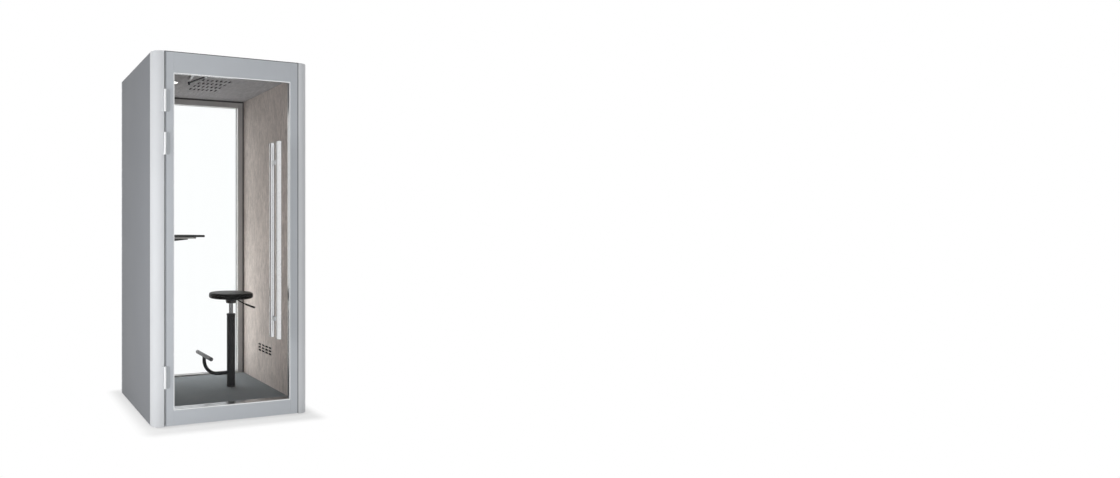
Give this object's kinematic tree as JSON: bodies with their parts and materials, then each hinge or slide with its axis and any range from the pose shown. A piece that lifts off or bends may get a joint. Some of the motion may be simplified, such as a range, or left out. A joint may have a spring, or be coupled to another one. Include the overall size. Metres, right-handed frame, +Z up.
{
  "type": "acoustic office pod",
  "caption": "Single-seat acoustic booth with rounded corner columns, hinged glass door, felt lining, glass back, height-adjustable round stool with footrest and a high wall table.",
  "frame": {"origin": "on the floor, centred under the whole pod with its door pull", "axes": "+Z up, the door faces -Y, its hinges are towards -X"},
  "size_m": [1, 1.039, 2.2],
  "materials": {
    "silver_profile": "satin",
    "door_profile": "satin",
    "grey_panel": "satin",
    "roof_board": "satin",
    "core": "matte",
    "platform": "matte",
    "header_board": "matte",
    "felt": "matte",
    "carpet": "matte",
    "dark_frame": "satin",
    "polished_metal": "polished",
    "stainless": "satin",
    "chrome": "polished",
    "clear_glass": "gloss",
    "lamp_lens": "gloss",
    "black_metal": "satin",
    "black_plastic": "matte",
    "table_laminate": "satin",
    "seat_pad": "matte",
    "rubber": "matte",
    "light_metal": "satin",
    "steel_fitting": "satin"
  },
  "bodies": {
    "pod": {"base_platform": "platform", "cable_gland": "rubber", "carpet": "carpet", "ceiling_felt": "felt", "closer_body": "black_plastic", "column_front_left": "silver_profile", "column_front_right": "silver_profile", "column_rear_left": "silver_profile", "column_rear_right": "silver_profile", "fan_housing": "black_plastic", "foot_front_left": "rubber", "foot_front_right": "rubber", "foot_rear_left": "rubber", "foot_rear_right": "rubber", "footrest_arm": "black_metal", "footrest_bar": "black_metal", "front_header": "header_board", "hinge_low_column_leaf": "steel_fitting", "hinge_middle_column_leaf": "steel_fitting", "hinge_top_column_leaf": "steel_fitting", "lamp_housing": "light_metal", "lamp_lens": "lamp_lens", "rear_glass": "clear_glass", "rear_rail_bottom": "dark_frame", "rear_rail_top": "dark_frame", "rear_stile_left": "dark_frame", "rear_stile_right": "dark_frame", "roof_panel": "roof_board", "side_panel_left": "grey_panel", "side_panel_right": "grey_panel", "stool_column": "black_metal", "table_bracket": "black_metal", "table_plate": "light_metal", "table_top": "table_laminate", "threshold": "polished_metal", "wall_core_left": "core", "wall_core_right": "core", "wall_felt_left": "felt", "wall_felt_right": "felt"},
    "door": {"door_stile_hinge": "door_profile", "door_stile_lock": "door_profile", "door_rail_top": "door_profile", "door_rail_bottom": "door_profile", "door_glass": "clear_glass", "door_seal": "rubber", "pull_bar_outer": "stainless", "pull_bar_inner": "stainless", "pull_post_upper": "stainless", "pull_post_lower": "stainless", "closer_shoe": "steel_fitting", "hinge_low_door_leaf": "steel_fitting", "hinge_middle_door_leaf": "steel_fitting", "hinge_top_door_leaf": "steel_fitting"},
    "closer_arm": {"closer_main_arm": "black_metal"},
    "closer_link": {"closer_forearm": "steel_fitting"},
    "stool_lift": {"stool_gas_rod": "chrome"},
    "stool_seat": {"stool_seat_plate": "black_metal", "stool_cushion": "seat_pad"},
    "stool_release": {"stool_lever": "black_metal"},
    "fan": {"fan_rotor": "black_plastic"}
  },
  "joints": [
    {"name": "door_hinge", "type": "hinge", "parent": "pod", "child": "door", "pos_m": [-0.4275, -0.4678, 1.1], "axis": [0, 0, -1], "range_deg": [0, 90], "stiffness_Nm_per_rad": 12, "springref_deg": -14.32},
    {"name": "closer_spindle", "type": "hinge", "parent": "pod", "child": "closer_arm", "pos_m": [-0.15, -0.3785, 2.084], "axis": [0, 0, 1], "range_deg": [0, 101]},
    {"name": "closer_shoe_pivot", "type": "hinge", "parent": "door", "child": "closer_link", "pos_m": [-0.229, -0.3985, 2.096], "axis": [0, 0, 1], "range_deg": [0, 89]},
    {"name": "seat_lift", "type": "slide", "parent": "pod", "child": "stool_lift", "axis": [0, 0, 1], "range_m": [-0.066, 0.06]},
    {"name": "seat_swivel", "type": "hinge", "parent": "stool_lift", "child": "stool_seat", "pos_m": [0.161, 0.027, 0.696], "axis": [0, 0, 1], "continuous": true},
    {"name": "release_lever", "type": "hinge", "parent": "stool_seat", "child": "stool_release", "pos_m": [0.205, 0.027, 0.686], "axis": [0, -1, 0], "range_deg": [0, 10], "stiffness_Nm_per_rad": 2, "springref_deg": -8.59},
    {"name": "fan_spin", "type": "hinge", "parent": "pod", "child": "fan", "pos_m": [-0.013, -0.037, 2.139], "axis": [0, 0, 1], "continuous": true}
  ],
  "couplings": [
    {"joint": "closer_spindle", "follows": "door_hinge", "ratio": 1.115},
    {"joint": "closer_shoe_pivot", "follows": "door_hinge", "ratio": 0.98387}
  ]
}
